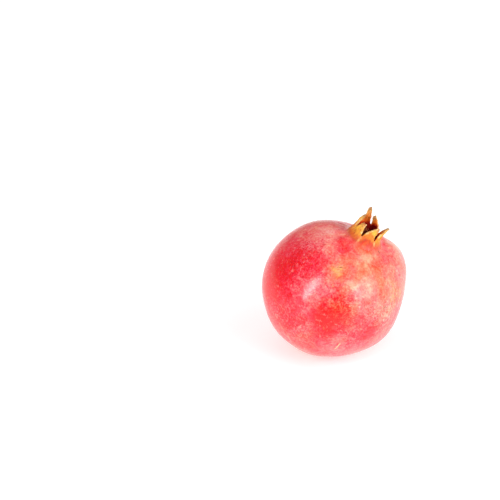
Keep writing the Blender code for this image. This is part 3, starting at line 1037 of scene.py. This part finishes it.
def rind_material():
    """Mottled leathery rind that turns into the dry golden crown, dark red inside the cup with painted shade
    deep in it.
    """
    paint = Paint("rind_skin")
    ground, blotch, fine, grainy, marks = rind_ground(paint)
    fibres = paint.noise(1.0, 4.0, 0.65, 0.3, paint.stretch((1.0, 1.0, 0.16)))
    crown, dry = crown_colour(paint, fibres)
    on_crown = paint.plus(paint.value("rise"), paint.times(dry, 0.12))
    on_crown = paint.math("MAXIMUM", paint.between(on_crown, 0.08, 0.26), paint.value("inside"))
    colour = paint.mix(on_crown, ground, crown)

    pits = paint.cells(0.9, "SMOOTH_F1")
    normal = paint.bump(blotch, 0.06, 0.6)
    normal = paint.bump(fine, 0.035, 0.6, normal)
    normal = paint.bump(pits, 0.02, 0.6, normal)
    normal = paint.bump(grainy, 0.012, 0.7, normal)
    normal = paint.bump(marks, 0.05, 0.8, normal)
    normal = paint.bump(paint.times(fibres, on_crown), 0.4, 0.8, normal)
    roughness = paint.plus(paint.times(fine, 0.16), paint.times(on_crown, 0.28))
    roughness = paint.plus(roughness, paint.times(marks, 0.2))
    paint.shader.inputs["Specular Tint"].default_value = (1.0, 0.86, 0.85, 1.0)
    return paint.finish(colour, paint.plus(roughness, 0.12), normal, 0.5)


def stamen_material():
    """Withered filaments, darkened most at the root by painted shade of the cup, with pale dusty anthers."""
    paint = Paint("withered_stamens")
    speck = paint.noise(0.5, 3.0, 0.6)
    colour = paint.ramp(paint.shifted(paint.value("rise"), speck, 0.3), STAMEN_COLOURS)
    return paint.finish(colour, 0.75, paint.bump(speck, 0.08, 0.7), 0.3)


def stalk_material():
    """Brown bark with fine fibres and a pale cut end."""
    paint = Paint("stalk_bark")
    fibres = paint.noise(0.7, 4.0, 0.65, 0.4, paint.stretch((1.0, 1.0, 0.2)))
    bark = paint.ramp(fibres, BARK_COLOURS)
    cut = paint.ramp(paint.noise(0.5, 3.0, 0.6), CUT_COLOURS)
    colour = paint.mix(paint.between(paint.value("rise"), 0.45, 0.55), bark, cut)
    return paint.finish(colour, 0.8, paint.bump(fibres, 0.2, 0.8), 0.3)


def floor_material():
    """Plain pale floor, very faintly clouded."""
    paint = Paint("pale_floor")
    paint.place = paint.add("ShaderNodeTexCoord").outputs["Object"]
    cloud = paint.between(paint.noise(400.0, 2.0), 0.3, 0.7)
    paint.feed(paint.shader.inputs["Base Color"], paint.mix(cloud, tone(242, 242, 242), tone(239, 239, 239)))
    paint.shader.inputs["Roughness"].default_value = 0.8
    paint.shader.inputs["Specular IOR Level"].default_value = 0.1
    paint.shader.inputs["Emission Color"].default_value = (1.0, 1.0, 1.0, 1.0)
    paint.shader.inputs["Emission Strength"].default_value = 0.3
    return paint.material


# Pieces

def add_piece(name, mesh, material, matrix, slot):
    """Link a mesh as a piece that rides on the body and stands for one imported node."""
    settle(mesh, matrix)
    piece = bpy.data.objects.new(name, mesh)
    bpy.context.scene.collection.objects.link(piece)
    mesh.materials.clear()
    mesh.materials.append(material)
    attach(piece, "root")
    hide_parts(slot)
    return piece


def make_rind(matrix):
    """Make the fine rind with its crown."""
    azimuths = column_azimuths()
    cage = Cage()
    outer_mouth = add_body(cage, azimuths)
    inner_mouth = add_cup(cage, azimuths)
    for index in range(len(SEPALS)):
        add_sepal(cage, index, outer_mouth, inner_mouth)
    mesh = mesh_from_cage("rind_skin", cage, SKIN_LEVELS)
    carve_skin(mesh)
    return add_piece("rind_skin", mesh, rind_material(), matrix, "rind")


def add_strand(cage, path, radii, rises, sides):
    """Add one tube along a path with a radius and a value at each of its points."""
    rings = []
    for step, (centre, radius, rise) in enumerate(zip(path, radii, rises)):
        before = path[max(step - 1, 0)]
        after = path[min(step + 1, len(path) - 1)]
        along = (after - before).normalized()
        side = along.orthogonal().normalized()
        points = []
        for corner in range(sides):
            turned = side.copy()
            turned.rotate(Matrix.Rotation(2 * math.pi * corner / sides, 3, along))
            points.append(centre + turned * radius)
        rings.append(cage.add_ring(points, rise))
    for lower, upper in zip(rings, rings[1:]):
        cage.bridge(lower, upper)
    cage.close(rings[0], path[0], rises[0])
    cage.close(rings[-1], path[-1], rises[-1])


def add_thread(cage, draw, root, middle, tip):
    """Add a stamen's thread, a slightly swaying arc that thins towards its tip."""
    shares = [step / STAMEN_STEPS for step in range(STAMEN_STEPS + 1)]
    path = []
    for share in shares:
        point = root * (1 - share) ** 2 + middle * 2 * share * (1 - share) + tip * share**2
        sway = Vector((draw.uniform(-1, 1), draw.uniform(-1, 1), 0)) * STAMEN_SWAY
        path.append(point + sway * math.sin(math.pi * share))
    radii = [STAMEN_RADIUS * (1.25 - 0.4 * share) for share in shares]
    add_strand(cage, path, radii, [THREAD_END_VALUE * share for share in shares], STAMEN_SIDES)


def add_anther(cage, draw, tip):
    """Add an anther that lies across a stamen's tip."""
    bend = Vector((draw.uniform(-1, 1), draw.uniform(-1, 1), draw.uniform(-0.3, 0.9))).normalized()
    last = len(ANTHER_WIDTHS) - 1
    path = [tip + bend * ANTHER_LENGTH * (step / last - 0.5) for step in range(last + 1)]
    radii = [ANTHER_RADIUS * width for width in ANTHER_WIDTHS]
    add_strand(cage, path, radii, [ANTHER_VALUE] * len(path), ANTHER_SIDES)


def make_stamens(matrix):
    """Make the tuft of withered stamens that stands in the cup."""
    draw = random.Random(STAMEN_SEED)
    cage = Cage()
    golden_angle = 180 * (3 - math.sqrt(5))
    for number in range(STAMEN_COUNT):
        spread = math.sqrt((number + 0.5) / STAMEN_COUNT)
        azimuth = number * golden_angle + draw.uniform(-8, 8)
        root_radius = ROOT_REACH * spread
        root = crown_point(azimuth, root_radius, ROOT_HEIGHT + CUSHION_RISE * spread**3)
        tip_height = draw.uniform(*TIP_HEIGHTS)
        tip_radius = TIP_REACH * (0.2 + 0.8 * spread) * draw.uniform(0.7, 1.0)
        tip = crown_point(azimuth + draw.uniform(-40, 40), tip_radius, tip_height)
        middle_height = (MIDDLE_HEIGHT + tip_height) / 2
        middle = crown_point(azimuth + draw.uniform(-12, 12), root_radius * 1.03, middle_height)
        add_thread(cage, draw, root, middle, tip)
        add_anther(cage, draw, tip)
    mesh = mesh_from_cage("stamen_tuft", cage, 1)
    return add_piece("stamen_tuft", mesh, stamen_material(), matrix, "stamens")


def make_stalk(matrix):
    """Make the fine cut stalk with its fibres and its cut end."""
    cage = stalk_cage(FINE_STALK_PROFILE, FINE_STALK_SIDES)
    draw = random.Random(FINE_STALK_SEED)
    furrows = [draw.uniform(STALK_FURROW, 1.0) for side in range(FINE_STALK_SIDES)]
    for ring in range(len(FINE_STALK_PROFILE) - 2):
        for side, furrow in enumerate(furrows):
            index = ring * FINE_STALK_SIDES + side
            point = cage.points[index]
            cage.points[index] = Vector((point.x * furrow, point.y * furrow, point.z))
            cage.rise[index] = 1.0 if ring >= CUT_RING else 0.0
    cage.rise[-1] = 1.0
    mesh = mesh_from_cage("stalk", cage, 1)
    return add_piece("stalk", mesh, stalk_material(), matrix, "stem_stub")


# Stage

def make_floor():
    """Make the plain pale floor."""
    mesh = bpy.data.meshes.new("floor")
    shape = bmesh.new()
    bmesh.ops.create_grid(shape, x_segments=1, y_segments=1, size=FLOOR_HALF_SIZE)
    shape.to_mesh(mesh)
    shape.free()
    floor = bpy.data.objects.new("floor", mesh)
    bpy.context.scene.collection.objects.link(floor)
    mesh.materials.append(floor_material())


def add_softbox(box):
    """Add a soft box that faces the fruit and leaves a highlight on it only if it is mirrored."""
    light = bpy.data.lights.new(box.name, "AREA")
    light.shape = box.shape
    light.size = box.width
    light.size_y = box.height
    light.energy = box.energy
    lamp = bpy.data.objects.new(box.name, light)
    bpy.context.scene.collection.objects.link(lamp)
    across = math.radians(box.azimuth)
    up = math.radians(box.elevation)
    away = Vector((math.sin(across) * math.cos(up), -math.cos(across) * math.cos(up), math.sin(up)))
    lamp.location = Vector(LIT_POINT) + away * box.distance
    facing = away.to_track_quat("Z", "Y").to_matrix() @ Matrix.Rotation(math.radians(box.roll), 3, "Z")
    lamp.rotation_euler = facing.to_euler()
    lamp.visible_camera = False
    lamp.visible_glossy = box.mirrored


def make_light():
    """Light the fruit from a white surround and four soft boxes, two of which leave no highlight."""
    world = bpy.data.worlds.new("white_surround")
    bpy.context.scene.world = world
    world.use_nodes = True
    background = world.node_tree.nodes["Background"]
    background.inputs["Color"].default_value = (1.0, 1.0, 1.0, 1.0)
    background.inputs["Strength"].default_value = SURROUND_STRENGTH
    for box in SOFTBOXES:
        add_softbox(box)
    bpy.context.scene.view_settings.view_transform = "Standard"
    bpy.context.scene.view_settings.look = "None"


def make_camera(matrix):
    """Set the camera so that the body's centre falls where the photograph has it."""
    camera = bpy.data.cameras.new("camera")
    camera.sensor_width = SENSOR_WIDTH
    field = PHOTO_PIXELS * PIXEL_SIZE * MM
    camera.lens = SENSOR_WIDTH * CAMERA_DISTANCE / field
    holder = bpy.data.objects.new("camera", camera)
    bpy.context.scene.collection.objects.link(holder)
    up = math.radians(CAMERA_ELEVATION)
    right = Vector((1, 0, 0))
    above = Vector((0, math.sin(up), math.cos(up)))
    back = Vector((0, -math.cos(up), math.sin(up)))
    aside = (BODY_PIXEL[0] - PHOTO_PIXELS / 2) * PIXEL_SIZE * MM
    below = (BODY_PIXEL[1] - PHOTO_PIXELS / 2) * PIXEL_SIZE * MM
    target = matrix.translation - right * aside + above * below
    holder.location = target + back * CAMERA_DISTANCE
    holder.rotation_euler = back.to_track_quat("Z", "Y").to_euler()
    bpy.context.scene.camera = holder


def main():
    """Make the pieces of the fruit, and the stage around it."""
    matrix = fruit_matrix()
    make_rind(matrix)
    make_stamens(matrix)
    make_stalk(matrix)
    make_floor()
    make_light()
    make_camera(matrix)


main()
bpy.context.view_layer.update()
